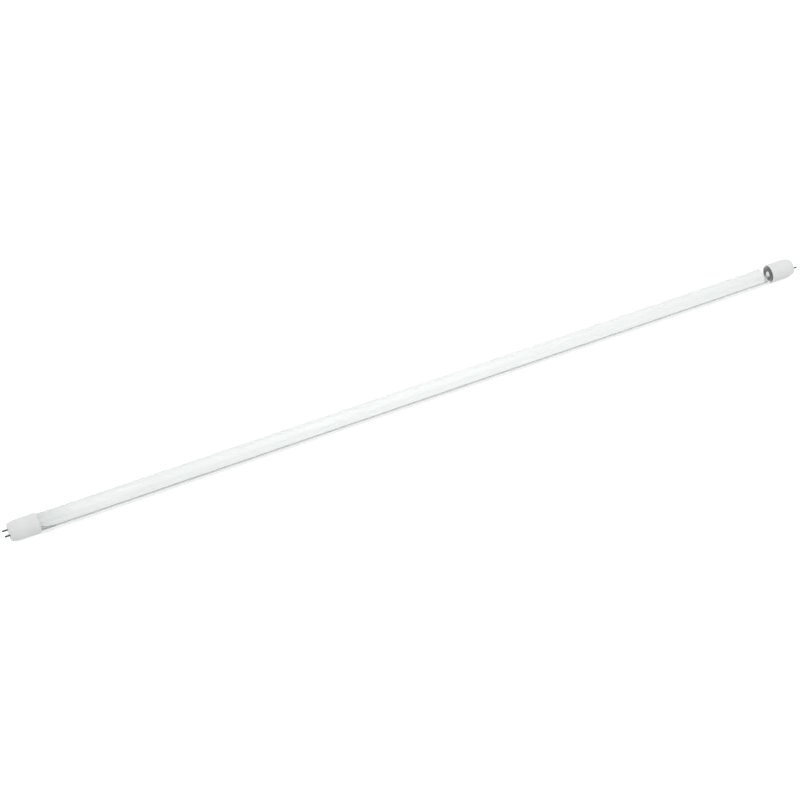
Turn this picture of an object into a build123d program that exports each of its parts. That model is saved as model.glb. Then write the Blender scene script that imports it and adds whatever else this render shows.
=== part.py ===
from build123d import *
import math
import os

# LED tube lamp of the 1.2 m, 26 mm class with two-pin caps. All sizes are in millimetres.
# X runs along the tube, Z points up through the lit side, and the pins of a cap stand side by
# side along Y. The origin is the middle of the lamp.

# Whole lamp
face_to_face = 1199.4       # flat end of one cap to flat end of the other
pin_spacing = 12.7          # between the two pins of a cap
pin_diameter = 2.37
pin_length = 7.1            # length that stands out of the cap

# Glass tube
glass_diameter = 25.4
glass_wall = 0.9
glass_seat = 14.0           # length of glass inside each cap
glass_edge = 0.3            # melted edge at the cut ends

# Caps
cap_length = 39.0
cap_mouth_wall = 1.05
cap_end_wall = 2.4
nose_length = 14.0          # length over which the end draws in
nose_drop = 2.6             # how much the radius draws in
nose_round = 2.0            # edge of the flat end
mouth_round = 0.4
stop_ledge = 0.35           # step that the glass end meets
stop_rib_count = 6
stop_rib_width = 1.2
stop_rib_length = 8.0

# Bond between glass and cap
bond_gap = 0.25
bond_length = 11.0
bond_setback = 1.5          # from the mouth of the cap

# Pins
pin_tip_round = 0.8
pin_shank_diameter = 3.0    # thicker length in the wall of the cap
pin_flange_diameter = 4.4
pin_flange_thickness = 0.8
pin_stem_diameter = 2.4
pin_stem_length = 3.0
pin_bore_diameter = 1.4     # holds the wire

# Diffuser film
film_thickness = 0.3
film_fit = 0.1              # between film and glass
film_rim_gap = 0.2          # between film edge and tray rim
film_disc_gap = 0.3         # between film and blanking disc at the left end
clear_end = 14.5            # bare glass between the right cap and the film
film_corner_length = 26.0   # front corner at the left end, cut back in a round
film_corner_height = 2.7    # where that cut starts, above the axis

# Heat-sink tray under the LED strip
tray_wall = 0.5
tray_fit = 0.1              # between tray and glass
tray_rim_drop = 3.4         # rims below the axis
tray_disc_gap = 0.5         # from the blanking disc
tray_lead_gap = 5.0         # from the driver carrier, room for the leads

# LED strip
strip_width = 10.0
strip_thickness = 1.0
strip_fit = 0.05            # between strip edges and tray
strip_end_gap = 1.0         # from the discs at both ends
adhesive_width = 7.0
adhesive_end = 6.0          # strip end to adhesive end
led_pitch = 11.8
led_end_margin = 30.0
led_length = 3.5
led_width = 2.8
led_height = 0.7
led_window_length = 2.6
led_window_width = 2.0
led_window_depth = 0.35

# Driver carrier and the blanking disc at the other end
carrier_disc = 3.0
carrier_fit = 0.15          # between disc and glass bore
carrier_edge = 0.5
rail_web = 1.6              # wall outside the groove
rail_lip = 1.2              # wall above and below the groove
groove_depth = 1.0
groove_fit = 0.05
disc_skirt = 8.0
disc_wall = 1.4

# Lead grommet
grommet_diameter = 6.4
grommet_flange_diameter = 8.0
grommet_flange = 0.9
grommet_fit = 0.05

# Driver board and what stands on it
board_drop = 2.0            # middle of the board below the axis
board_thickness = 1.2
board_front_gap = 0.2
board_pin_gap = 1.5         # from the stems of the pins
capacitor_diameter = 8.0
capacitor_length = 11.5
capacitor_crimp = 0.5
choke_diameter = 7.0
choke_height = 7.4
choke_flange = 1.2
choke_post_diameter = 3.4
choke_winding_diameter = 6.2
choke_offset = 2.5          # to the front of the axis
bridge_length = 4.7
bridge_width = 3.8
bridge_height = 2.4
chip_length = 4.9
chip_width = 3.9
chip_height = 1.5
leg_reach = 1.2
leg_thickness = 0.25
leg_width = 0.5
fuse_diameter = 2.6
fuse_length = 6.5
fuse_offset = 4.2           # to the rear of the axis
fuse_leg_diameter = 0.6
part_gap = 0.8              # along the board

# Wires
wire_diameter = 1.2
wire_lift = 0.05            # between a lead and what it lies on
wire_bend = 2.0
short_bend = 1.5            # where a lead has little room
strip_lead_spacing = 3.0
strip_lead_board = 3.0      # length on the board
strip_lead_reach = 1.6      # from the grommet to the middle of the bend
strip_lead_slope = 0.1      # length along the lamp for each millimetre down to the strip
strip_lead_land = 3.5       # length on the strip
pin_lead_out = 0.8          # straight length behind the stem of the pin
pin_lead_slope = 3.0        # length along the lamp for each millimetre down to the board
pin_lead_land = 2.0         # length on the board
link_depth = 5.0            # how far the link stands in from the pins

# Sizes that follow from the ones above
half = face_to_face / 2
mouth = half - cap_length
glass_r = glass_diameter / 2
bore_r = glass_r - glass_wall
glass_end = mouth + glass_seat
seat_r = glass_r + bond_gap
cap_r = seat_r + cap_mouth_wall
cavity_r = glass_r - stop_ledge
inner_face = half - cap_end_wall
pin_offset = pin_spacing / 2
flange_face = inner_face - pin_flange_thickness
stem_end = flange_face - pin_stem_length
tray_r = bore_r - tray_fit
tray_bore_r = tray_r - tray_wall
strip_bottom = -math.sqrt((tray_bore_r - strip_fit) ** 2 - (strip_width / 2) ** 2)
strip_top = strip_bottom + strip_thickness
strip_half = mouth - strip_end_gap
carrier_r = bore_r - carrier_fit
disc_back = mouth + carrier_disc
board_top = -board_drop + board_thickness / 2
board_bottom = -board_drop - board_thickness / 2
board_front = disc_back + board_front_gap
board_end = stem_end - board_pin_gap
board_half = math.sqrt(carrier_r ** 2 - board_bottom ** 2) - rail_web
rail_inner = board_half - groove_depth
wire_r = wire_diameter / 2
lead_z = board_top + wire_lift + wire_r


def turned(points, axis=Axis.X):
    """A solid of revolution from the corners of half its section."""
    return revolve(make_face(Polyline(*points, close=True)), axis)


def rod(radius, start, end):
    """A round rod along X between two places."""
    return Pos((start + end) / 2, 0, 0) * Cylinder(radius, end - start, rotation=(0, 90, 0))


def pipe(outer, inner, start, end):
    """A round pipe along X between two places."""
    return rod(outer, start, end) - rod(inner, start, end)


def block(start, end, width, bottom, top):
    """A block along X, centred across Y, between two heights."""
    middle = Pos((start + end) / 2, 0, (bottom + top) / 2)
    return middle * Box(end - start, width, top - bottom)


def round_edges_at(shape, place, radius):
    """Round every circular edge of a turned shape that lies at one place along X."""
    rims = shape.edges().filter_by(GeomType.CIRCLE)
    rims = rims.filter_by(lambda rim: abs(rim.arc_center.X - place) < radius / 10)
    return fillet(rims, radius)


def wire(points, bend=wire_bend, radius=wire_r):
    """A round wire along straight runs with bends between them."""
    path = FilletPolyline(*points, radius=bend)
    section = Plane(origin=path @ 0, z_dir=path % 0) * Circle(radius)
    return sweep(section, path=path)


def at_left(shape):
    """The same piece at the left end of the lamp, still the same way up."""
    return Rot(0, 0, 180) * shape


# Glass tube and the film rolled inside it
def glass():
    tube = pipe(glass_r, bore_r, -glass_end, glass_end)
    return fillet(tube.edges().filter_by(GeomType.CIRCLE), glass_edge)


def film():
    outer = bore_r - film_fit
    left = film_disc_gap - mouth
    right = mouth - clear_end
    low = film_rim_gap - tray_rim_drop
    corner_end = left + film_corner_length
    roll = pipe(outer, outer - film_thickness, left, right)
    roll -= block(left, right, glass_diameter, -glass_diameter, low)
    with BuildSketch(Plane.XZ) as corner:
        with BuildLine():
            TangentArc((corner_end, low), (left, film_corner_height), tangent=(-1, 0))
            Polyline((left, film_corner_height), (left, -glass_r), (corner_end, -glass_r), (corner_end, low))
        make_face()
    return roll - extrude(corner.sketch, glass_r)


# Cap with its drawn-in nose, the seat for the glass, stop ribs and the holes for the pins
def cap():
    nose_start = half - nose_length
    nose_arc = (nose_length ** 2 + nose_drop ** 2) / (2 * nose_drop)
    inner_arc = nose_arc - (cap_r - cavity_r)
    inner_length = nose_length - cap_end_wall
    inner_drop = inner_arc - math.sqrt(inner_arc ** 2 - inner_length ** 2)

    with BuildPart() as body:
        with BuildSketch():
            with BuildLine():
                Line((mouth, 0), (mouth, cap_r))
                Line((mouth, cap_r), (nose_start, cap_r))
                TangentArc((nose_start, cap_r), (half, cap_r - nose_drop), tangent=(1, 0))
                Line((half, cap_r - nose_drop), (half, 0))
                Line((half, 0), (mouth, 0))
            make_face()
        revolve(axis=Axis.X)
    envelope = round_edges_at(body.part, half, nose_round)
    envelope = round_edges_at(envelope, mouth, mouth_round)

    with BuildPart() as hollow:
        with BuildSketch():
            with BuildLine():
                Polyline((mouth, 0), (mouth, seat_r), (glass_end, seat_r))
                Polyline((glass_end, seat_r), (glass_end, cavity_r), (nose_start, cavity_r))
                TangentArc((nose_start, cavity_r), (inner_face, cavity_r - inner_drop), tangent=(1, 0))
                Polyline((inner_face, cavity_r - inner_drop), (inner_face, 0), (mouth, 0))
            make_face()
        revolve(axis=Axis.X)
    shell = envelope - hollow.part

    rib_root = (cap_r - cavity_r) / 4
    rib_height = cavity_r + rib_root - bore_r
    rib = Pos(glass_end + stop_rib_length / 2, 0, bore_r + rib_height / 2)
    rib = rib * Box(stop_rib_length, stop_rib_width, rib_height)
    for turn in range(stop_rib_count):
        shell += Rot(360 * turn / stop_rib_count + 90, 0, 0) * rib

    for side in (-1, 1):
        shell -= Pos(0, side * pin_offset, 0) * rod(pin_shank_diameter / 2, inner_face, half)
    return shell


def bond():
    start = mouth + bond_setback
    return pipe(seat_r, glass_r, start, start + bond_length)


# Contact pin: rounded tip, shank in the wall, flange behind it and a bored stem for the wire
def pin(side):
    tip = half + pin_length
    body = turned([
        (stem_end, 0),
        (stem_end, pin_stem_diameter / 2),
        (flange_face, pin_stem_diameter / 2),
        (flange_face, pin_flange_diameter / 2),
        (inner_face, pin_flange_diameter / 2),
        (inner_face, pin_shank_diameter / 2),
        (half, pin_shank_diameter / 2),
        (half, pin_diameter / 2),
        (tip, pin_diameter / 2),
        (tip, 0),
    ])
    body = round_edges_at(body, tip, pin_tip_round)
    body -= rod(pin_bore_diameter / 2, stem_end, inner_face)
    return Pos(0, side * pin_offset, 0) * body


# Heat-sink tray that lines the lower part of the glass
def tray():
    left = tray_disc_gap - mouth
    right = mouth - tray_lead_gap
    channel = pipe(tray_r, tray_bore_r, left, right)
    return channel - block(left, right, glass_diameter, -tray_rim_drop, glass_diameter)


# LED strip on its adhesive in the tray, with one row of packages
def strip():
    return block(-strip_half, strip_half, strip_width, strip_bottom, strip_top)


def adhesive():
    reach = strip_half - adhesive_end
    bead = block(-reach, reach, adhesive_width, -tray_bore_r, strip_bottom)
    return bead & rod(tray_bore_r, -reach, reach)


def led_places():
    half_count = math.floor((strip_half - led_end_margin) / led_pitch)
    return [Pos(place * led_pitch, 0, strip_top) for place in range(-half_count, half_count + 1)]


def led_window():
    depth = Pos(0, 0, led_height - led_window_depth / 2)
    return depth * Box(led_window_length, led_window_width, led_window_depth)


def led_packages():
    package = Pos(0, 0, led_height / 2) * Box(led_length, led_width, led_height)
    package -= led_window()
    return Compound(children=[place * package for place in led_places()])


def led_phosphors():
    return Compound(children=[place * led_window() for place in led_places()])


# Driver carrier: a disc that closes the glass and two grooved rails that hold the board
def carrier():
    disc = rod(carrier_r, mouth, disc_back)
    disc = round_edges_at(disc, mouth, carrier_edge)
    disc -= rod(grommet_diameter / 2 + grommet_fit, mouth, disc_back)
    rail_end = board_end - rail_web
    rails = block(disc_back, rail_end, 2 * carrier_r, board_bottom - rail_lip, board_top + rail_lip)
    rails -= block(disc_back, rail_end, 2 * rail_inner, -carrier_r, carrier_r)
    rails -= block(
        disc_back,
        rail_end,
        2 * (board_half + groove_fit),
        board_bottom - groove_fit,
        board_top + groove_fit,
    )
    rails &= rod(carrier_r, disc_back, rail_end)
    return disc + rails


def blanking_disc():
    disc = rod(carrier_r, mouth, mouth + disc_skirt)
    disc = round_edges_at(disc, mouth, carrier_edge)
    return disc - rod(carrier_r - disc_wall, disc_back, mouth + disc_skirt)


def grommet():
    flange_r = grommet_flange_diameter / 2
    body_r = grommet_diameter / 2
    front = mouth - grommet_flange
    body = turned([
        (front, 0),
        (front, flange_r),
        (mouth, flange_r),
        (mouth, body_r),
        (disc_back, body_r),
        (disc_back, 0),
    ])
    body = round_edges_at(body, front, grommet_flange / 2)
    for side in (-1, 1):
        hole = rod(wire_r + wire_lift, front, disc_back)
        body -= Pos(0, side * strip_lead_spacing / 2, lead_z) * hole
    return body


# Driver board and its parts
def board():
    return block(board_front, board_end, 2 * board_half, board_bottom, board_top)


choke_x = board_front + strip_lead_board + part_gap + choke_diameter / 2
capacitor_start = choke_x + choke_diameter / 2 + part_gap


def choke_core():
    post_r = choke_post_diameter / 2
    flange_r = choke_diameter / 2
    core = turned([
        (0, 0),
        (flange_r, 0),
        (flange_r, choke_flange),
        (post_r, choke_flange),
        (post_r, choke_height - choke_flange),
        (flange_r, choke_height - choke_flange),
        (flange_r, choke_height),
        (0, choke_height),
    ], Axis.Y)
    return Pos(choke_x, -choke_offset, board_top) * Rot(90, 0, 0) * core


def choke_winding():
    coil_height = choke_height - 2 * choke_flange
    coil = Cylinder(choke_winding_diameter / 2, coil_height)
    coil -= Cylinder(choke_post_diameter / 2, coil_height)
    return Pos(choke_x, -choke_offset, board_top + choke_height / 2) * coil


def capacitor():
    can_r = capacitor_diameter / 2
    waist_r = can_r - capacitor_crimp
    can = turned([
        (0, 0),
        (0, can_r),
        (2 * capacitor_crimp, can_r),
        (3 * capacitor_crimp, waist_r),
        (4 * capacitor_crimp, can_r),
        (capacitor_length, can_r),
        (capacitor_length, 0),
    ])
    can = round_edges_at(can, capacitor_length, capacitor_crimp)
    can = round_edges_at(can, 0, capacitor_crimp)
    return Pos(capacitor_start, 0, board_top + wire_lift + can_r) * can


def flat_pack(length, width, height, legs_per_side):
    """A moulded block under the board with flat legs along both sides."""
    body = Pos(0, 0, -height / 2 - leg_thickness / 2) * Box(length, width, height - leg_thickness)
    span = width + 2 * leg_reach
    leg = Pos(0, 0, -leg_thickness / 2) * Box(leg_width, span, leg_thickness)
    pitch = length / legs_per_side
    for place in GridLocations(pitch, span, legs_per_side, 1):
        body += place * leg
    return body


def bridge():
    middle = (capacitor_start + board_end) / 2
    return Pos(middle, 0, board_bottom) * flat_pack(bridge_length, bridge_width, bridge_height, 2)


def chip():
    return Pos(choke_x, 0, board_bottom) * flat_pack(chip_length, chip_width, chip_height, 4)


def fuse():
    start = choke_x - fuse_length / 2
    height = board_top + wire_lift + fuse_diameter / 2
    body = rod(fuse_diameter / 2, start, start + fuse_length)
    body = round_edges_at(body, start, fuse_diameter / 4)
    body = round_edges_at(body, start + fuse_length, fuse_diameter / 4)
    leg_r = fuse_leg_diameter / 2
    reach = fuse_length / 2 + fuse_leg_diameter * 2
    legs = wire([
        (choke_x - reach, 0, board_top - height),
        (choke_x - reach, 0, 0),
        (choke_x + reach, 0, 0),
        (choke_x + reach, 0, board_top - height),
    ], fuse_leg_diameter, leg_r)
    return Pos(0, fuse_offset, height) * (body + legs)


# Wires
def strip_lead(side):
    across = side * strip_lead_spacing / 2
    land_z = strip_top + wire_lift + wire_r
    turn_x = mouth - grommet_flange - strip_lead_reach
    low_x = turn_x - strip_lead_slope * (lead_z - land_z)
    return wire([
        (board_front + strip_lead_board, across, lead_z),
        (turn_x, across, lead_z),
        (low_x, across, land_z),
        (low_x - strip_lead_land, across, land_z),
    ], short_bend)


def pin_lead(side):
    across = side * pin_offset
    drop_x = stem_end - pin_lead_out
    land_x = drop_x + pin_lead_slope * lead_z
    return wire([
        (flange_face, across, 0),
        (drop_x, across, 0),
        (land_x, across, lead_z),
        (land_x - pin_lead_land, across, lead_z),
    ], short_bend)


def link_wire():
    back = stem_end - link_depth
    return wire([
        (flange_face, -pin_offset, 0),
        (back, -pin_offset, 0),
        (back, pin_offset, 0),
        (flange_face, pin_offset, 0),
    ])


nodes = {
    "glass_tube": glass(),
    "diffuser_film": film(),
    "left_cap": at_left(cap()),
    "right_cap": cap(),
    "left_cap_bond": at_left(bond()),
    "right_cap_bond": bond(),
    "left_pin_front": at_left(pin(1)),
    "left_pin_rear": at_left(pin(-1)),
    "right_pin_front": pin(-1),
    "right_pin_rear": pin(1),
    "heat_sink_tray": tray(),
    "led_strip": strip(),
    "strip_adhesive": adhesive(),
    "led_packages": led_packages(),
    "led_phosphors": led_phosphors(),
    "left_blanking_disc": at_left(blanking_disc()),
    "left_link_wire": at_left(link_wire()),
    "driver_carrier": carrier(),
    "lead_grommet": grommet(),
    "driver_board": board(),
    "bulk_capacitor": capacitor(),
    "choke_core": choke_core(),
    "choke_winding": choke_winding(),
    "bridge_rectifier": bridge(),
    "driver_chip": chip(),
    "fuse_resistor": fuse(),
    "strip_lead_front": strip_lead(-1),
    "strip_lead_rear": strip_lead(1),
    "pin_lead_front": pin_lead(-1),
    "pin_lead_rear": pin_lead(1),
}

os.makedirs("parts", exist_ok=True)
for name, shape in nodes.items():
    export_step(shape, f"parts/{name}.step")
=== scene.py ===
import logging
import math
from dataclasses import dataclass, field
from enum import Enum
from typing import Any, Iterable, Sequence

import bmesh
import bpy
from mathutils import Matrix, Vector


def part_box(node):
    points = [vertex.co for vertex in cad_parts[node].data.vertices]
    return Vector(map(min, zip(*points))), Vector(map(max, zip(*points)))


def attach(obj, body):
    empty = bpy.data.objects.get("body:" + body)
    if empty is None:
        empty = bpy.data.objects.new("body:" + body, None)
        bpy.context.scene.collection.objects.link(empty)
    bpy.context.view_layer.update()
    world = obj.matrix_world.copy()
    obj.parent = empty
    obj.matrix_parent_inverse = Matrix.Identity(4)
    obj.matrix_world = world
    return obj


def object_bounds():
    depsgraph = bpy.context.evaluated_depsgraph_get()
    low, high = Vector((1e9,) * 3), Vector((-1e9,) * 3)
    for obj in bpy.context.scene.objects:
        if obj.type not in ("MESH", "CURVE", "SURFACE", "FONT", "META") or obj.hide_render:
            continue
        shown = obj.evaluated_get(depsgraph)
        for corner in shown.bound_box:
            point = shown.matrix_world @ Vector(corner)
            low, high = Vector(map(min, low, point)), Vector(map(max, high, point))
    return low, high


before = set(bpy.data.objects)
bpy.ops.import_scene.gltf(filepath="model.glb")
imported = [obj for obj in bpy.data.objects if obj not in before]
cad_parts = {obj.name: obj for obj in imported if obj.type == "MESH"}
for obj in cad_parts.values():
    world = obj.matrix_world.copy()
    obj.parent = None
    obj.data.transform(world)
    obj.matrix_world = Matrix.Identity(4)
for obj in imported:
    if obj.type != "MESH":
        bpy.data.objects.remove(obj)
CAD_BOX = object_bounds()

IMAGE_SIDE_PX = 800
SENSOR_MM = 36.0
MM = 0.001
# Bands that a wave texture draws in one unit of length at a scale of one.
WAVE_BANDS = 20 / math.tau
# Row height of a brick texture at a scale of one.
BRICK_ROW = 0.25
# Edges of a new piece that turn by more than this stay crisp.
CRISP_EDGE_DEG = 35.0
# LED packages stand further apart than this.
PACKAGE_GAP_MM = 5.0
# Places along the lamp are told apart to a hundredth of a millimetre.
PLACE_DIGITS = 5
# A face looks a given way where the cosine to that way is above this.
FACING_COSINE = 0.5
# A ray has not been scattered yet while its diffuse depth is below this.
UNSCATTERED_DEPTH = 0.5
# Light goes to and fro between film and tray many times before it leaves the tube.
INNER_BOUNCES = 24
ALL_BOUNCES = 32
# Inputs and output of a node that mixes two colours.
MIX_SHARE = 0
MIX_FIRST = 6
MIX_SECOND = 7
MIX_RESULT = 2

LOG = logging.getLogger("led_tube")


class LampEnd(Enum):
    """The two ends of the lamp, as the sign of their place along X."""

    LEFT = -1
    RIGHT = 1


class Side(Enum):
    """The two sides of the lamp, as the sign of their place along Y."""

    FRONT = -1
    REAR = 1


class RingAxis(Enum):
    """The axis that the rings of a turned or wound metal follow."""

    LENGTH = "X"
    HEIGHT = "Z"


class Lacquer(Enum):
    """The broad faces of a board that are lacquered."""

    TOP = 1
    BOTH = 2


def linear(hex_colour: str) -> tuple[float, float, float, float]:
    """Turn an sRGB hex colour into linear values for a shader.

    Args:
        hex_colour: six hex digits with a leading hash.

    Returns:
        Linear red, green, blue and an alpha of one.
    """
    parts = [int(hex_colour[place:place + 2], 16) / 255 for place in (1, 3, 5)]
    red, green, blue = (c / 12.92 if c <= 0.04045 else ((c + 0.055) / 1.055) ** 2.4 for c in parts)
    return red, green, blue, 1.0


def per_metre(size_mm: float) -> float:
    """Return how many features of a size in millimetres fit in a metre."""
    return 1.0 / (size_mm * MM)


def add_node(
    tree: bpy.types.NodeTree,
    kind: str,
    inputs: dict[str | int, Any] | None = None,
    **settings: Any,
) -> bpy.types.Node:
    """Add one node with its settings, values and links.

    Args:
        tree: the node tree to add to.
        kind: Blender's name for the node type.
        inputs: value or output socket for each input, by name or place.
        settings: attributes of the node itself.

    Returns:
        The new node.
    """
    node = tree.nodes.new(kind)
    for name, value in settings.items():
        setattr(node, name, value)
    for name, value in (inputs or {}).items():
        if isinstance(value, bpy.types.NodeSocket):
            tree.links.new(value, node.inputs[name])
        else:
            node.inputs[name].default_value = value
    return node


@dataclass(frozen=True)
class Finish:
    """A finish of the lamp, made once as a Blender material.

    Attributes:
        name: common name of the real material and how its surface was made.
        colour: sRGB hex colour.
        roughness: roughness of the shader.
    """

    name: str
    colour: str
    roughness: float

    def material(self) -> bpy.types.Material:
        """Make the finish's material, or find it if it has been made.

        Returns:
            The material.
        """
        made = bpy.data.materials.get(self.name)
        if made is not None:
            return made
        made = bpy.data.materials.new(self.name)
        made.use_nodes = True
        tree = made.node_tree
        tree.nodes.clear()
        shader = add_node(tree, "ShaderNodeBsdfPrincipled", {
            "Base Color": linear(self.colour),
            "Roughness": self.roughness,
        })
        add_node(tree, "ShaderNodeOutputMaterial", {"Surface": shader.outputs["BSDF"]})
        place = add_node(tree, "ShaderNodeTexCoord").outputs["Object"]
        self.detail(tree, shader, place)
        return made

    def detail(
        self,
        tree: bpy.types.NodeTree,
        shader: bpy.types.Node,
        place: bpy.types.NodeSocket,
    ) -> None:
        """Add what the real surface shows beyond its plain colour.

        Args:
            tree: the material's node tree.
            shader: its surface shader.
            place: position on the piece, in metres.
        """
        raise NotImplementedError


@dataclass(frozen=True)
class DrawnGlass(Finish):
    """Glass drawn into tube: clear, with long soft draw lines.

    Attributes:
        ior: refractive index of the glass.
        line_mm: width of a draw line round the tube.
        line_stretch: how many times longer than wide a draw line is.
        line_strength: strength of the draw lines.
        line_depth_mm: depth of the draw lines.
    """

    ior: float = 1.52
    line_mm: float = 4.0
    line_stretch: float = 40.0
    line_strength: float = 0.02
    line_depth_mm: float = 0.1

    def detail(
        self,
        tree: bpy.types.NodeTree,
        shader: bpy.types.Node,
        place: bpy.types.NodeSocket,
    ) -> None:
        """Make the glass clear and give it its draw lines.

        Args:
            tree: the material's node tree.
            shader: its surface shader.
            place: position on the tube, in metres.
        """
        shader.inputs["IOR"].default_value = self.ior
        shader.inputs["Transmission Weight"].default_value = 1.0
        along = add_node(tree, "ShaderNodeMapping", {
            "Vector": place,
            "Scale": (1 / self.line_stretch, 1, 1),
        })
        lines = add_node(tree, "ShaderNodeTexNoise", {
            "Vector": along.outputs["Vector"],
            "Scale": per_metre(self.line_mm),
            "Detail": 1.0,
        })
        bump = add_node(tree, "ShaderNodeBump", {
            "Height": lines.outputs["Fac"],
            "Strength": self.line_strength,
            "Distance": self.line_depth_mm * MM,
        })
        tree.links.new(bump.outputs["Normal"], shader.inputs["Normal"])


@dataclass(frozen=True)
class FrostedFilm(Finish):
    """Frosted film: milky, lets light through and spreads it, slightly uneven in tone.

    Attributes:
        cloud_colour: tone of the thinner patches.
        cloud_mm: size of those patches.
        through: share of the light that each face lets through.
        frost_mm: size of the frosted grain.
        frost_strength: strength of that grain.
        frost_depth_mm: depth of that grain.
    """

    cloud_colour: str = "#FFFFFF"
    cloud_mm: float = 30.0
    through: float = 0.65
    # The real frost is a few hundredths of a millimetre, drawn coarser so that it shows close up.
    frost_mm: float = 0.4
    frost_strength: float = 0.1
    frost_depth_mm: float = 0.02

    def detail(
        self,
        tree: bpy.types.NodeTree,
        shader: bpy.types.Node,
        place: bpy.types.NodeSocket,
    ) -> None:
        """Make the film translucent and give it its clouds and frost.

        Args:
            tree: the material's node tree.
            shader: its surface shader.
            place: position on the film, in metres.
        """
        clouds = add_node(tree, "ShaderNodeTexNoise", {
            "Vector": place,
            "Scale": per_metre(self.cloud_mm),
            "Detail": 3.0,
        })
        tone = add_node(tree, "ShaderNodeMix", {
            MIX_SHARE: clouds.outputs["Fac"],
            MIX_FIRST: linear(self.colour),
            MIX_SECOND: linear(self.cloud_colour),
        }, data_type="RGBA")
        tree.links.new(tone.outputs[MIX_RESULT], shader.inputs["Base Color"])
        frost = add_node(tree, "ShaderNodeTexNoise", {
            "Vector": place,
            "Scale": per_metre(self.frost_mm),
            "Detail": 2.0,
        })
        bump = add_node(tree, "ShaderNodeBump", {
            "Height": frost.outputs["Fac"],
            "Strength": self.frost_strength,
            "Distance": self.frost_depth_mm * MM,
        })
        tree.links.new(bump.outputs["Normal"], shader.inputs["Normal"])
        # The mix of both shaders takes the surface shader's place at the output.
        surface = shader.outputs["BSDF"].links[0].to_socket
        passed = add_node(tree, "ShaderNodeBsdfTranslucent", {"Color": tone.outputs[MIX_RESULT]})
        milky = add_node(tree, "ShaderNodeMixShader", {
            0: self.through,
            1: shader.outputs["BSDF"],
            2: passed.outputs["BSDF"],
        })
        tree.links.new(milky.outputs["Shader"], surface)


@dataclass(frozen=True)
class Moulded(Finish):
    """Moulded, cast or coated surface: a body colour with soft patches and a fine grain.

    Attributes:
        shade: colour of the soft patches.
        patch_mm: size of those patches.
        gloss_spread: how far the roughness strays in the patches.
        grain_mm: size of the grain left by the mould.
        grain_strength: strength of that grain.
        grain_depth_mm: depth of that grain.
        glow: share of the light that enters the body and comes out again.
        glow_mm: how far that light spreads.
    """

    shade: str = "#FFFFFF"
    patch_mm: float = 12.0
    gloss_spread: float = 0.05
    # A mould's real grain is about 0.05 mm, drawn coarser so that it shows close up.
    grain_mm: float = 0.6
    grain_strength: float = 0.15
    grain_depth_mm: float = 0.05
    glow: float = 0.0
    glow_mm: float = 1.0

    def detail(
        self,
        tree: bpy.types.NodeTree,
        shader: bpy.types.Node,
        place: bpy.types.NodeSocket,
    ) -> None:
        """Give the body its soft patches, its grain and its glow.

        Args:
            tree: the material's node tree.
            shader: its surface shader.
            place: position on the piece, in metres.
        """
        shader.inputs["Subsurface Weight"].default_value = self.glow
        shader.inputs["Subsurface Radius"].default_value = (1.0, 1.0, 1.0)
        shader.inputs["Subsurface Scale"].default_value = self.glow_mm * MM
        patches = add_node(tree, "ShaderNodeTexNoise", {
            "Vector": place,
            "Scale": per_metre(self.patch_mm),
            "Detail": 4.0,
        })
        tone = add_node(tree, "ShaderNodeMix", {
            MIX_SHARE: patches.outputs["Fac"],
            MIX_FIRST: linear(self.colour),
            MIX_SECOND: linear(self.shade),
        }, data_type="RGBA")
        tree.links.new(tone.outputs[MIX_RESULT], shader.inputs["Base Color"])
        gloss = add_node(tree, "ShaderNodeMapRange", {
            "Value": patches.outputs["Fac"],
            "To Min": self.roughness - self.gloss_spread,
            "To Max": self.roughness + self.gloss_spread,
        })
        tree.links.new(gloss.outputs["Result"], shader.inputs["Roughness"])
        grain = add_node(tree, "ShaderNodeTexNoise", {
            "Vector": place,
            "Scale": per_metre(self.grain_mm),
            "Detail": 2.0,
        })
        bump = add_node(tree, "ShaderNodeBump", {
            "Height": grain.outputs["Fac"],
            "Strength": self.grain_strength,
            "Distance": self.grain_depth_mm * MM,
        })
        tree.links.new(bump.outputs["Normal"], shader.inputs["Normal"])


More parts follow.
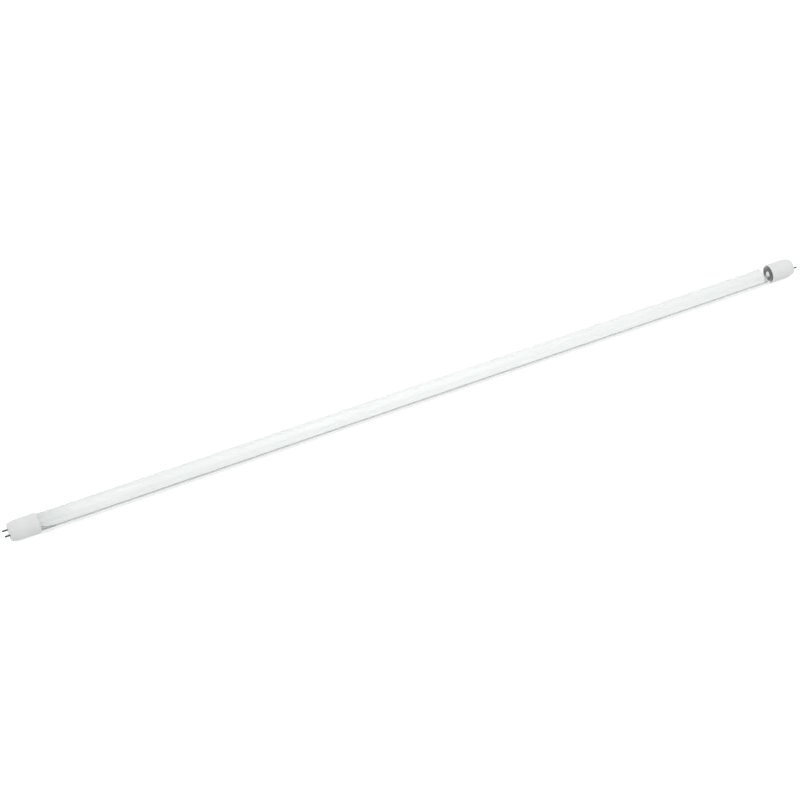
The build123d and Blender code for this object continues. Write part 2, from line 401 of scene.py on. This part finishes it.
@dataclass(frozen=True)
class Metal(Finish):
    """Turned, wound or melted metal: fine rings along one axis and duller patches.

    Attributes:
        tarnish: colour of the duller patches.
        patch_mm: size of those patches.
        gloss_spread: how far the roughness strays in the patches.
        ring_mm: spacing of the rings.
        ring_axis: axis that the rings follow.
        ring_strength: strength of the rings.
        ring_depth_mm: depth of the rings.
        ring_waver: how far the rings stray from a true circle.
    """

    tarnish: str = "#808080"
    patch_mm: float = 3.0
    gloss_spread: float = 0.08
    # Rings left by turning are under 0.1 mm apart, drawn coarser so that they show close up.
    ring_mm: float = 0.3
    ring_axis: RingAxis = RingAxis.LENGTH
    ring_strength: float = 0.15
    ring_depth_mm: float = 0.02
    ring_waver: float = 0.4

    def detail(
        self,
        tree: bpy.types.NodeTree,
        shader: bpy.types.Node,
        place: bpy.types.NodeSocket,
    ) -> None:
        """Give the metal its rings and its duller patches.

        Args:
            tree: the material's node tree.
            shader: its surface shader.
            place: position on the piece, in metres.
        """
        shader.inputs["Metallic"].default_value = 1.0
        patches = add_node(tree, "ShaderNodeTexNoise", {
            "Vector": place,
            "Scale": per_metre(self.patch_mm),
            "Detail": 3.0,
        })
        tone = add_node(tree, "ShaderNodeMix", {
            MIX_SHARE: patches.outputs["Fac"],
            MIX_FIRST: linear(self.colour),
            MIX_SECOND: linear(self.tarnish),
        }, data_type="RGBA")
        tree.links.new(tone.outputs[MIX_RESULT], shader.inputs["Base Color"])
        gloss = add_node(tree, "ShaderNodeMapRange", {
            "Value": patches.outputs["Fac"],
            "To Min": self.roughness - self.gloss_spread,
            "To Max": self.roughness + self.gloss_spread,
        })
        tree.links.new(gloss.outputs["Result"], shader.inputs["Roughness"])
        rings = add_node(tree, "ShaderNodeTexWave", {
            "Vector": place,
            "Scale": per_metre(self.ring_mm) / WAVE_BANDS,
            "Distortion": self.ring_waver,
        }, bands_direction=self.ring_axis.value)
        bump = add_node(tree, "ShaderNodeBump", {
            "Height": rings.outputs["Fac"],
            "Strength": self.ring_strength,
            "Distance": self.ring_depth_mm * MM,
        })
        tree.links.new(bump.outputs["Normal"], shader.inputs["Normal"])


@dataclass(frozen=True)
class ExtrudedMetal(Finish):
    """Extruded trough round the axis of the lamp: dull metal with die lines, lacquered inside.

    Attributes:
        lacquer: colour of the lacquer on the inner face.
        line_tone: colour of the duller lines.
        line_mm: width of a die line.
        line_stretch: how many times longer than wide a die line is.
        line_strength: strength of the die lines.
        line_depth_mm: depth of the die lines.
    """

    lacquer: str = "#FFFFFF"
    line_tone: str = "#808080"
    # Real die lines are about 0.1 mm wide, drawn coarser so that they show close up.
    line_mm: float = 0.5
    line_stretch: float = 200.0
    line_strength: float = 0.2
    line_depth_mm: float = 0.03

    def detail(
        self,
        tree: bpy.types.NodeTree,
        shader: bpy.types.Node,
        place: bpy.types.NodeSocket,
    ) -> None:
        """Give the metal its die lines and lacquer the inner face.

        Args:
            tree: the material's node tree.
            shader: its surface shader.
            place: position on the piece, in metres.
        """
        # The trough's axis is X, so what is left of a place without its X points outward.
        radial = add_node(tree, "ShaderNodeVectorMath", {
            0: place,
            1: (0, 1, 1),
        }, operation="MULTIPLY")
        outward = add_node(tree, "ShaderNodeVectorMath", {
            0: radial.outputs[0],
        }, operation="NORMALIZE")
        normal = add_node(tree, "ShaderNodeNewGeometry").outputs["Normal"]
        facing = add_node(tree, "ShaderNodeVectorMath", {
            0: outward.outputs[0],
            1: normal,
        }, operation="DOT_PRODUCT").outputs["Value"]
        bare = add_node(tree, "ShaderNodeMath", {
            0: facing,
            1: -FACING_COSINE,
        }, operation="GREATER_THAN").outputs[0]
        tree.links.new(bare, shader.inputs["Metallic"])
        along = add_node(tree, "ShaderNodeMapping", {
            "Vector": place,
            "Scale": (1 / self.line_stretch, 1, 1),
        })
        lines = add_node(tree, "ShaderNodeTexNoise", {
            "Vector": along.outputs["Vector"],
            "Scale": per_metre(self.line_mm),
            "Detail": 3.0,
        })
        tone = add_node(tree, "ShaderNodeMix", {
            MIX_SHARE: lines.outputs["Fac"],
            MIX_FIRST: linear(self.colour),
            MIX_SECOND: linear(self.line_tone),
        }, data_type="RGBA")
        coat = add_node(tree, "ShaderNodeMix", {
            MIX_SHARE: bare,
            MIX_FIRST: linear(self.lacquer),
            MIX_SECOND: tone.outputs[MIX_RESULT],
        }, data_type="RGBA")
        tree.links.new(coat.outputs[MIX_RESULT], shader.inputs["Base Color"])
        bump = add_node(tree, "ShaderNodeBump", {
            "Height": lines.outputs["Fac"],
            "Strength": self.line_strength,
            "Distance": self.line_depth_mm * MM,
        })
        tree.links.new(bump.outputs["Normal"], shader.inputs["Normal"])


@dataclass(frozen=True)
class LacqueredBoard(Finish):
    """Circuit board: lacquer with tracks under it on the broad faces, bare core on cut edges.

    Attributes:
        track_tone: colour of the lacquer over the gap between two tracks.
        track_mm: width of a track.
        gap_size: size of the gap between two tracks, as the brick texture counts it.
        core: colour of the bare core.
        core_metallic: one for a metal core, zero for glass and resin.
        faces: which broad faces are lacquered.
    """

    track_tone: str = "#E4E5E0"
    track_mm: float = 3.0
    gap_size: float = 0.03
    core: str = "#B9BBBD"
    core_metallic: float = 1.0
    faces: Lacquer = Lacquer.TOP

    def detail(
        self,
        tree: bpy.types.NodeTree,
        shader: bpy.types.Node,
        place: bpy.types.NodeSocket,
    ) -> None:
        """Lacquer the broad faces and leave the core bare elsewhere.

        Args:
            tree: the material's node tree.
            shader: its surface shader.
            place: position on the board, in metres.
        """
        tracks = add_node(tree, "ShaderNodeTexBrick", {
            "Vector": place,
            "Color1": linear(self.colour),
            "Color2": linear(self.colour),
            "Mortar": linear(self.track_tone),
            "Scale": per_metre(self.track_mm) * BRICK_ROW,
            "Mortar Size": self.gap_size,
        })
        normal = add_node(tree, "ShaderNodeNewGeometry").outputs["Normal"]
        upward = add_node(tree, "ShaderNodeSeparateXYZ", {0: normal}).outputs["Z"]
        if self.faces is Lacquer.BOTH:
            upward = add_node(tree, "ShaderNodeMath", {0: upward}, operation="ABSOLUTE").outputs[0]
        lacquer = add_node(tree, "ShaderNodeMath", {
            0: upward,
            1: FACING_COSINE,
        }, operation="GREATER_THAN")
        tone = add_node(tree, "ShaderNodeMix", {
            MIX_SHARE: lacquer.outputs[0],
            MIX_FIRST: linear(self.core),
            MIX_SECOND: tracks.outputs["Color"],
        }, data_type="RGBA")
        tree.links.new(tone.outputs[MIX_RESULT], shader.inputs["Base Color"])
        bare = add_node(tree, "ShaderNodeMapRange", {
            "Value": lacquer.outputs[0],
            "To Min": self.core_metallic,
            "To Max": 0.0,
        })
        tree.links.new(bare.outputs["Result"], shader.inputs["Metallic"])


# Soda-lime glass, drawn: clear, with a breath of blue-green.
CLEAR_GLASS = DrawnGlass("soda_lime_glass_drawn", "#FDFFFF", 0.0)
# Polyester film, frosted: milky white, no gloss, light comes through it.
FROSTED_FILM = FrostedFilm("polyester_film_frosted", "#FFFFFF", 0.6, cloud_colour="#FDFDFD")
# Polycarbonate, moulded: cool white with a soft sheen, a little light passes into it.
WHITE_CAP = Moulded(
    "polycarbonate_moulded_white", "#E8EAE9", 0.38,
    shade="#E2E5E4", patch_mm=15.0, grain_mm=0.5, grain_strength=0.1, glow=0.6, glow_mm=2.0,
)
# Nickel on brass, turned: dark grey metal with fine rings, darker where it has dulled.
NICKEL_PIN = Metal("nickel_plated_brass_turned", "#595957", 0.3, tarnish="#464644", ring_mm=0.5)
# Silicone, cured: off-white, soft, without gloss.
WHITE_SILICONE = Moulded(
    "silicone_cured_white", "#F6F6F4", 0.6,
    shade="#F0F0ED", patch_mm=5.0, grain_mm=1.5, grain_strength=0.2, glow=0.4,
)
# Aluminium, extruded: die lines along the lamp, white lacquer inside; its outer grey is darker than
# the metal, painted shade for the lamp's dark lower edge.
TRAY_METAL_WITH_PAINTED_SHADE = ExtrudedMetal(
    "aluminium_extruded_painted_shade", "#A8AAA8", 0.5, lacquer="#F4F5F3", line_tone="#9A9C9A",
)
# Aluminium board with white lacquer: bright top, bare metal edges and back.
STRIP_BOARD = LacqueredBoard("aluminium_board_white_lacquer", "#F0F0EC", 0.35)
# Polyamide, moulded: cream white body of the light packages.
LED_BODY = Moulded(
    "polyamide_moulded_cream", "#EFEBDD", 0.45,
    shade="#E6E1D1", patch_mm=1.0, grain_mm=0.3, grain_strength=0.1,
)
# Phosphor in silicone, cast: strong yellow, slightly glossy.
LED_PHOSPHOR = Moulded(
    "phosphor_in_silicone_cast", "#F2CF4E", 0.3,
    shade="#E7BE38", patch_mm=0.6, grain_mm=0.2, grain_strength=0.1,
)
# Polybutylene, moulded: near black with a dull sheen.
DARK_PLASTIC = Moulded(
    "polybutylene_moulded_black", "#27282A", 0.5, shade="#303134", patch_mm=6.0, grain_mm=0.5,
)
# Glass-resin board with green lacquer over copper tracks, straw-coloured where it is cut.
GREEN_BOARD = LacqueredBoard(
    "glass_resin_board_green_lacquer", "#1F5B38", 0.35,
    track_tone="#2E7A4C", track_mm=2.0, core="#B7AE7E", core_metallic=0.0, faces=Lacquer.BOTH,
)
# Polyester sleeve, shrunk on: deep blue and glossy.
CAPACITOR_SLEEVE = Moulded(
    "polyester_sleeve_shrunk_blue", "#1B2440", 0.25,
    shade="#222C4C", patch_mm=4.0, grain_mm=2.0, grain_strength=0.1,
)
# Ferrite, sintered: dark grey and dull.
FERRITE = Moulded(
    "ferrite_sintered", "#2C2A2A", 0.7,
    shade="#363434", patch_mm=2.0, grain_mm=0.3, grain_strength=0.3,
)
# Copper wire, enamelled and wound: red-brown rings, one for each turn.
COPPER_COIL = Metal(
    "copper_wire_enamelled_wound", "#B5652F", 0.3,
    tarnish="#96501F", ring_mm=0.3, ring_axis=RingAxis.HEIGHT, ring_strength=0.6, ring_depth_mm=0.1,
)
# Epoxy, moulded: black and matt.
CHIP_EPOXY = Moulded(
    "epoxy_moulded_black", "#17171A", 0.55,
    shade="#1F1F22", patch_mm=1.5, grain_mm=0.2, grain_strength=0.2,
)
# Cement lacquer on a resistor: dull green.
RESISTOR_LACQUER = Moulded(
    "resistor_cement_lacquer_green", "#3F6B58", 0.5,
    shade="#4A7864", patch_mm=2.0, grain_mm=0.4, grain_strength=0.2,
)
# Polyvinyl chloride, extruded over wire: white with a soft sheen.
WIRE_COVER = Moulded(
    "pvc_extruded_white", "#E4E4DF", 0.45,
    shade="#DADAD4", patch_mm=3.0, grain_mm=0.4, grain_strength=0.1,
)
# Solder, melted: bright grey metal with a frosty skin.
SOLDER = Metal(
    "solder_melted", "#C6C8CA", 0.3,
    tarnish="#A7A9AC", patch_mm=1.0, ring_mm=0.8, ring_axis=RingAxis.HEIGHT, ring_strength=0.1,
)
# Tape at the tray's left end: matt, with an uneven face; its mid grey is painted shade for the dark
# wedge at that end.
GREY_TAPE_PAINTED_SHADE = Moulded(
    "tape_grey_painted_shade", "#787A7A", 0.55,
    shade="#6B6D6E", patch_mm=3.0, grain_mm=0.8, grain_strength=0.3,
)


def dress(node: str, finish: Finish) -> None:
    """Give one CAD node its finish.

    Args:
        node: name of the node.
        finish: finish to put on it.
    """
    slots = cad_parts[node].data.materials
    slots.clear()
    slots.append(finish.material())
    LOG.info("%s: %s", node, finish.name)


def add_skin(mesh: bmesh.types.BMesh, rings: Sequence[Sequence[Vector]]) -> None:
    """Add a closed skin through rings of points, with a flat face at both ends.

    Args:
        mesh: mesh to add to.
        rings: rings of equally many points, in metres.
    """
    rows = [[mesh.verts.new(point) for point in ring] for ring in rings]
    for row, after in zip(rows, rows[1:]):
        for here in range(len(row)):
            there = (here + 1) % len(row)
            mesh.faces.new((row[here], row[there], after[there], after[here]))
    mesh.faces.new(rows[0][::-1])
    mesh.faces.new(rows[-1])


def add_piece(name: str, mesh: bmesh.types.BMesh, finish: Finish) -> None:
    """Add a piece of the lamp that rides on its body.

    Args:
        name: name of the piece.
        mesh: its mesh, in the frame of the lamp, in metres.
        finish: its finish.
    """
    bmesh.ops.recalc_face_normals(mesh, faces=mesh.faces)
    for face in mesh.faces:
        face.smooth = True
    for edge in mesh.edges:
        edge.smooth = edge.calc_face_angle() < math.radians(CRISP_EDGE_DEG)
    data = bpy.data.meshes.new(name)
    mesh.to_mesh(data)
    mesh.free()
    data.materials.append(finish.material())
    piece = bpy.data.objects.new(name, data)
    bpy.context.scene.collection.objects.link(piece)
    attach(piece, "root")
    LOG.info("%s: %s, %d faces", name, finish.name, len(data.polygons))


@dataclass
class GlassBody:
    """The glass tube and the diffuser film rolled inside it.

    Attributes:
        glass: finish of the tube.
        film: finish of the film.
    """

    glass: Finish = CLEAR_GLASS
    film: Finish = FROSTED_FILM

    def dress(self) -> None:
        """Put glass and film on their nodes."""
        dress("glass_tube", self.glass)
        dress("diffuser_film", self.film)


@dataclass
class EndCap:
    """One cap with its bond and its two pins.

    Attributes:
        end: which end of the lamp it closes.
        shell: finish of the cap.
        bond: finish of the ring of silicone in its mouth.
        pin: finish of the pins.
    """

    end: LampEnd
    shell: Finish = WHITE_CAP
    bond: Finish = WHITE_SILICONE
    pin: Finish = NICKEL_PIN

    def dress(self) -> None:
        """Put the finishes on the cap, the bond and both pins."""
        end = self.end.name.lower()
        dress(f"{end}_cap", self.shell)
        dress(f"{end}_cap_bond", self.bond)
        for side in Side:
            dress(f"{end}_pin_{side.name.lower()}", self.pin)


@dataclass
class LightStrip:
    """The LED strip with its tray, adhesive, packages, solder and end tape, whose grey is painted
    shade.

    Attributes:
        pad_length_mm: length of a solder pad at the right end of the strip.
        pad_width_mm: width of that pad.
        pad_height_mm: thickness of that pad.
        pad_corner_mm: radius of its corners.
        joint_length_mm: half the length of the solder over a lead's end.
        joint_width_mm: half its width.
        joint_height_mm: its height.
        foot_length_mm: how far the solder runs out from the end of a package.
        foot_width_mm: its width.
        foot_height_mm: how far it climbs up the package.
        tape_length_mm: length of the tape round the left end of the tray, along its lowest line.
        tape_rim_length_mm: length of that tape at the rims of the tray.
        tape_thickness_mm: thickness of that tape.
        tape_lift_mm: gap between tape and tray.
        tape_steps: points in the curve of the tape.
        curve_steps: points in each curve of the other pieces.
    """

    pad_length_mm: float = 4.4
    pad_width_mm: float = 2.5
    pad_height_mm: float = 0.04
    pad_corner_mm: float = 0.5
    joint_length_mm: float = 2.0
    joint_width_mm: float = 1.2
    joint_height_mm: float = 1.5
    foot_length_mm: float = 0.6
    foot_width_mm: float = 2.2
    foot_height_mm: float = 0.4
    tape_length_mm: float = 26.0
    tape_rim_length_mm: float = 18.0
    tape_thickness_mm: float = 0.04
    tape_lift_mm: float = 0.02
    tape_steps: int = 40
    curve_steps: int = 6

    def dress(self) -> None:
        """Put the finishes on the tray, the strip, the adhesive and the packages."""
        # The tray's outer grey is darkened as painted shade along the lamp's lower edge.
        dress("heat_sink_tray", TRAY_METAL_WITH_PAINTED_SHADE)
        dress("led_strip", STRIP_BOARD)
        dress("strip_adhesive", WHITE_SILICONE)
        dress("led_packages", LED_BODY)
        dress("led_phosphors", LED_PHOSPHOR)

    def build(self) -> None:
        """Make the pads and the solder on the strip and the tape round the tray."""
        self.build_lead_joints()
        self.build_feet()
        self.build_end_shade_tape()

    def build_lead_joints(self) -> None:
        """Solder each lead's end to a pad at the right end of the strip."""
        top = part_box("led_strip")[1].z
        pads = bmesh.new()
        joints = bmesh.new()
        for side in Side:
            low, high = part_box(f"strip_lead_{side.name.lower()}")
            seat = Vector((low.x, (low.y + high.y) / 2, top))
            add_skin(pads, self.pad_rings(seat))
            add_skin(joints, self.joint_rings(seat + Vector((0, 0, self.pad_height_mm * MM))))
        add_piece("strip_pads", pads, SOLDER)
        add_piece("strip_lead_solder", joints, SOLDER)

    def pad_rings(self, seat: Vector) -> list[list[Vector]]:
        """Work out the rings of a flat pad with round corners.

        Args:
            seat: middle of its lower face, in metres.

        Returns:
            The rings of its lower and upper outline.
        """
        corner = self.pad_corner_mm
        reach = (self.pad_length_mm / 2 - corner, self.pad_width_mm / 2 - corner)
        outline = []
        for quarter, (across, along) in enumerate(((1, 1), (-1, 1), (-1, -1), (1, -1))):
            for step in range(self.curve_steps + 1):
                turn = math.pi / 2 * (quarter + step / self.curve_steps)
                outline.append(Vector((
                    across * reach[0] + corner * math.cos(turn),
                    along * reach[1] + corner * math.sin(turn),
                    0,
                )))
        rise = Vector((0, 0, self.pad_height_mm))
        return [[seat + (point + lift) * MM for point in outline] for lift in (Vector(), rise)]

    def joint_rings(self, seat: Vector) -> list[list[Vector]]:
        """Work out the rings of a bell of solder that runs out flat onto its pad.

        Args:
            seat: middle of its lower face, in metres.

        Returns:
            The rings from its foot to its top.
        """
        rings = []
        points = 4 * self.curve_steps
        for step in range(2 * self.curve_steps):
            spread = 1 - step / (2 * self.curve_steps)
            height = self.joint_height_mm * (1 + math.cos(math.pi * spread)) / 2
            turns = [math.tau * place / points for place in range(points)]
            rings.append([
                seat + MM * Vector((
                    self.joint_length_mm * spread * math.cos(turn),
                    self.joint_width_mm * spread * math.sin(turn),
                    height,
                ))
                for turn in turns
            ])
        return rings

    def build_feet(self) -> None:
        """Solder both ends of every package to the strip."""
        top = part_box("led_strip")[1].z
        feet = bmesh.new()
        for low, high in package_spans():
            for place, outward in ((low, -1), (high, 1)):
                add_skin(feet, self.foot_rings(Vector((place, 0, top)), outward))
        add_piece("led_solder_feet", feet, SOLDER)

    def foot_rings(self, seat: Vector, outward: int) -> list[list[Vector]]:
        """Work out both ends of a hollow fillet of solder against a package.

        Args:
            seat: middle of the package's lower edge, in metres.
            outward: sign of the direction away from the package, along X.

        Returns:
            The section of the fillet at its front and at its rear.
        """
        section = [(0.0, 0.0)]
        for step in range(self.curve_steps):
            out = 1 - step / self.curve_steps
            section.append((out * self.foot_length_mm, (1 - out) ** 2 * self.foot_height_mm))
        section.append((0.0, self.foot_height_mm))
        return [
            [
                seat + MM * Vector((outward * out, side.value * self.foot_width_mm / 2, height))
                for out, height in section
            ]
            for side in Side
        ]

    def build_end_shade_tape(self) -> None:
        """Wrap a grey tape round the underside of the tray's left end; its grey is painted shade.
        """
        low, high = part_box("heat_sink_tray")
        tray_radius = -low.z
        reach = math.acos(-high.z / tray_radius)
        inner = tray_radius + self.tape_lift_mm * MM
        outer = inner + self.tape_thickness_mm * MM
        rim_change = self.tape_rim_length_mm - self.tape_length_mm
        rings = []
        for step in range(self.tape_steps + 1):
            share = 2 * step / self.tape_steps - 1
            turn = reach * share
            length = self.tape_length_mm + rim_change * abs(share)
            rings.append([
                Vector((low.x + along * MM, radius * math.sin(turn), -radius * math.cos(turn)))
                for radius, along in ((inner, 0.0), (inner, length), (outer, length), (outer, 0.0))
            ])
        tape = bmesh.new()
        add_skin(tape, rings)
        # The tape's mid grey is painted shade at the tray's left end.
        add_piece("tray_end_shade_tape", tape, GREY_TAPE_PAINTED_SHADE)


def package_spans() -> list[tuple[float, float]]:
    """Find where each LED package starts and ends along X.

    Returns:
        The lowest and highest X of each package, in metres.
    """
    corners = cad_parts["led_packages"].data.vertices
    places = sorted({round(corner.co.x, PLACE_DIGITS) for corner in corners})
    spans = []
    start = last = places[0]
    for place in places[1:] + [math.inf]:
        if place - last > PACKAGE_GAP_MM * MM:
            spans.append((start, last))
            start = place
        last = place
    return spans


@dataclass
class Closures:
    """The dark pieces that close the glass at both caps, and the pale grommet.

    Attributes:
        disc: finish of the carrier and the blanking disc.
        grommet: finish of the grommet.
    """

    disc: Finish = DARK_PLASTIC
    grommet: Finish = WHITE_SILICONE

    def dress(self) -> None:
        """Put the finishes on the carrier, the disc and the grommet."""
        dress("driver_carrier", self.disc)
        dress("left_blanking_disc", self.disc)
        dress("lead_grommet", self.grommet)


@dataclass
class Driver:
    """The driver board and its parts.

    Attributes:
        parts: finish of each part, by node.
    """

    parts: dict[str, Finish] = field(default_factory=lambda: {
        "driver_board": GREEN_BOARD,
        "bulk_capacitor": CAPACITOR_SLEEVE,
        "choke_core": FERRITE,
        "choke_winding": COPPER_COIL,
        "bridge_rectifier": CHIP_EPOXY,
        "driver_chip": CHIP_EPOXY,
        "fuse_resistor": RESISTOR_LACQUER,
    })

    def dress(self) -> None:
        """Put its finish on every part of the driver."""
        for node, finish in self.parts.items():
            dress(node, finish)


@dataclass
class Wiring:
    """The leads at the right end and the link at the left end.

    Attributes:
        cover: finish of the wires' cover.
    """

    cover: Finish = WIRE_COVER

    def dress(self) -> None:
        """Put the cover's finish on every wire."""
        dress("left_link_wire", self.cover)
        for side in Side:
            dress(f"strip_lead_{side.name.lower()}", self.cover)
            dress(f"pin_lead_{side.name.lower()}", self.cover)


@dataclass(frozen=True)
class Softbox:
    """A large soft lamp that points at one place.

    Attributes:
        name: name of the lamp.
        place: where it stands, in metres.
        target: what it points at, in metres.
        width: its width in metres.
        height: its height in metres.
        power: its power in watts.
    """

    name: str
    place: tuple[float, float, float]
    target: tuple[float, float, float]
    width: float
    height: float
    power: float

    def build(self) -> None:
        """Add the lamp to the scene."""
        lamp = bpy.data.lights.new(self.name, "AREA")
        lamp.shape = "RECTANGLE"
        lamp.size = self.width
        lamp.size_y = self.height
        lamp.energy = self.power
        holder = bpy.data.objects.new(self.name, lamp)
        holder.location = self.place
        aim = Vector(self.target) - Vector(self.place)
        holder.rotation_euler = aim.to_track_quat("-Z", "Y").to_euler()
        # The lamp lights the tube without a streak of it in the glass.
        holder.visible_glossy = False
        bpy.context.scene.collection.objects.link(holder)


@dataclass
class Studio:
    """Plain pale floor, soft light and the camera.

    Attributes:
        floor_side: side of the floor in metres.
        floor_colour: colour of the floor.
        floor_lift: how much the floor shines where it is seen, so that it reads as white.
        sky_colour: colour of the even light from all sides.
        sky_strength: strength of that light.
        lamps: the soft lamps.
        azimuth_deg: how far the camera has gone round from straight in front.
        elevation_deg: how far it looks down.
        roll_deg: its roll.
        lens_mm: its focal length.
        distance: distance from the lamp's middle along the line of sight, in metres.
        middle_px: where the lamp's middle lies in the picture.
    """

    floor_side: float = 14.0
    floor_colour: str = "#E4E4E4"
    floor_lift: float = 0.6
    sky_colour: str = "#FFFFFF"
    sky_strength: float = 0.78
    lamps: tuple[Softbox, ...] = (
        Softbox("key_softbox", (0.07, -0.4, 0.85), (0.07, 0.0, 0.0), 0.9, 1.5, 4.4),
    )
    azimuth_deg: float = 22.84
    elevation_deg: float = 34.37
    roll_deg: float = -5.43
    lens_mm: float = 85.5
    distance: float = 2.616
    middle_px: tuple[float, float] = (428.05, 389.8)

    def build(self) -> None:
        """Make the floor, the light and the camera."""
        self.build_floor()
        self.build_sky()
        for lamp in self.lamps:
            lamp.build()
        self.build_camera()

    def background_seen(self, tree: bpy.types.NodeTree) -> bpy.types.NodeSocket:
        """Tell rays that show the background from rays that light the lamp.

        Args:
            tree: node tree of the floor or the sky.

        Returns:
            One where the camera sees the background, also through glass or mirrored, else zero.
        """
        ray = add_node(tree, "ShaderNodeLightPath").outputs
        on_the_way = add_node(tree, "ShaderNodeMath", {
            0: ray["Is Transmission Ray"],
            1: ray["Is Glossy Ray"],
        }, operation="MAXIMUM")
        shown = add_node(tree, "ShaderNodeMath", {
            0: ray["Is Camera Ray"],
            1: on_the_way.outputs[0],
        }, operation="MAXIMUM")
        unscattered = add_node(tree, "ShaderNodeMath", {
            0: ray["Diffuse Depth"],
            1: UNSCATTERED_DEPTH,
        }, operation="LESS_THAN")
        seen = add_node(tree, "ShaderNodeMath", {
            0: shown.outputs[0],
            1: unscattered.outputs[0],
        }, operation="MULTIPLY")
        return seen.outputs[0]

    def build_floor(self) -> None:
        """Lay the floor under the lamp."""
        mesh = bmesh.new()
        bmesh.ops.create_grid(mesh, x_segments=1, y_segments=1, size=self.floor_side / 2)
        data = bpy.data.meshes.new("floor")
        mesh.to_mesh(data)
        mesh.free()
        data.materials.append(self.floor_material())
        floor = bpy.data.objects.new("floor", data)
        floor.location.z = CAD_BOX[0].z
        bpy.context.scene.collection.objects.link(floor)

    def floor_material(self) -> bpy.types.Material:
        """Make the floor's matt paper, which keeps shadows and reads as white.

        Returns:
            The material.
        """
        paper = bpy.data.materials.new("matt_paper_pale")
        paper.use_nodes = True
        tree = paper.node_tree
        tree.nodes.clear()
        lift = add_node(tree, "ShaderNodeMath", {
            0: self.background_seen(tree),
            1: self.floor_lift,
        }, operation="MULTIPLY")
        matt = add_node(tree, "ShaderNodeBsdfDiffuse", {"Color": linear(self.floor_colour)})
        shine = add_node(tree, "ShaderNodeEmission", {"Strength": lift.outputs[0]})
        both = add_node(tree, "ShaderNodeAddShader", {0: matt.outputs[0], 1: shine.outputs[0]})
        add_node(tree, "ShaderNodeOutputMaterial", {"Surface": both.outputs[0]})
        return paper

    def build_sky(self) -> None:
        """Light the scene evenly from all sides, and show white where the sky is seen."""
        world = bpy.data.worlds.new("even_sky")
        world.use_nodes = True
        tree = world.node_tree
        tree.nodes.clear()
        strength = add_node(tree, "ShaderNodeMapRange", {
            "Value": self.background_seen(tree),
            "To Min": self.sky_strength,
            "To Max": 1.0,
        })
        sky = add_node(tree, "ShaderNodeBackground", {
            "Color": linear(self.sky_colour),
            "Strength": strength.outputs["Result"],
        })
        add_node(tree, "ShaderNodeOutputWorld", {"Surface": sky.outputs[0]})
        bpy.context.scene.world = world

    def build_camera(self) -> None:
        """Stand the camera where the photograph was taken from."""
        turn = math.radians(self.azimuth_deg)
        dip = math.radians(self.elevation_deg)
        roll = math.radians(self.roll_deg)
        ahead = Vector((
            math.cos(dip) * math.sin(turn),
            math.cos(dip) * math.cos(turn),
            -math.sin(dip),
        ))
        level = Vector((math.cos(turn), -math.sin(turn), 0.0))
        upright = level.cross(ahead)
        right = math.cos(roll) * level + math.sin(roll) * upright
        up = math.cos(roll) * upright - math.sin(roll) * level
        focal_px = self.lens_mm / SENSOR_MM * IMAGE_SIDE_PX
        across = (self.middle_px[0] - IMAGE_SIDE_PX / 2) / focal_px
        above = (IMAGE_SIDE_PX / 2 - self.middle_px[1]) / focal_px
        data = bpy.data.cameras.new("photo_camera")
        data.lens = self.lens_mm
        data.sensor_width = SENSOR_MM
        camera = bpy.data.objects.new("photo_camera", data)
        camera.matrix_world = Matrix((right, up, -ahead)).transposed().to_4x4()
        camera.location = -self.distance * (ahead + across * right + above * up)
        bpy.context.scene.collection.objects.link(camera)
        bpy.context.scene.camera = camera


def main() -> None:
    """Dress the lamp piece by piece, light it and set up the camera."""
    logging.basicConfig(level=logging.INFO, format="%(name)s %(message)s")
    scene = bpy.context.scene
    scene.view_settings.view_transform = "Standard"
    # Light that the film has scattered still passes the glass as sharply as the first ray did.
    scene.cycles.blur_glossy = 0.0
    scene.cycles.max_bounces = ALL_BOUNCES
    scene.cycles.diffuse_bounces = INNER_BOUNCES
    scene.cycles.transmission_bounces = INNER_BOUNCES
    GlassBody().dress()
    for end in LampEnd:
        EndCap(end).dress()
    strip = LightStrip()
    strip.dress()
    strip.build()
    Closures().dress()
    Driver().dress()
    Wiring().dress()
    Studio().build()


if __name__ == "__main__":
    main()
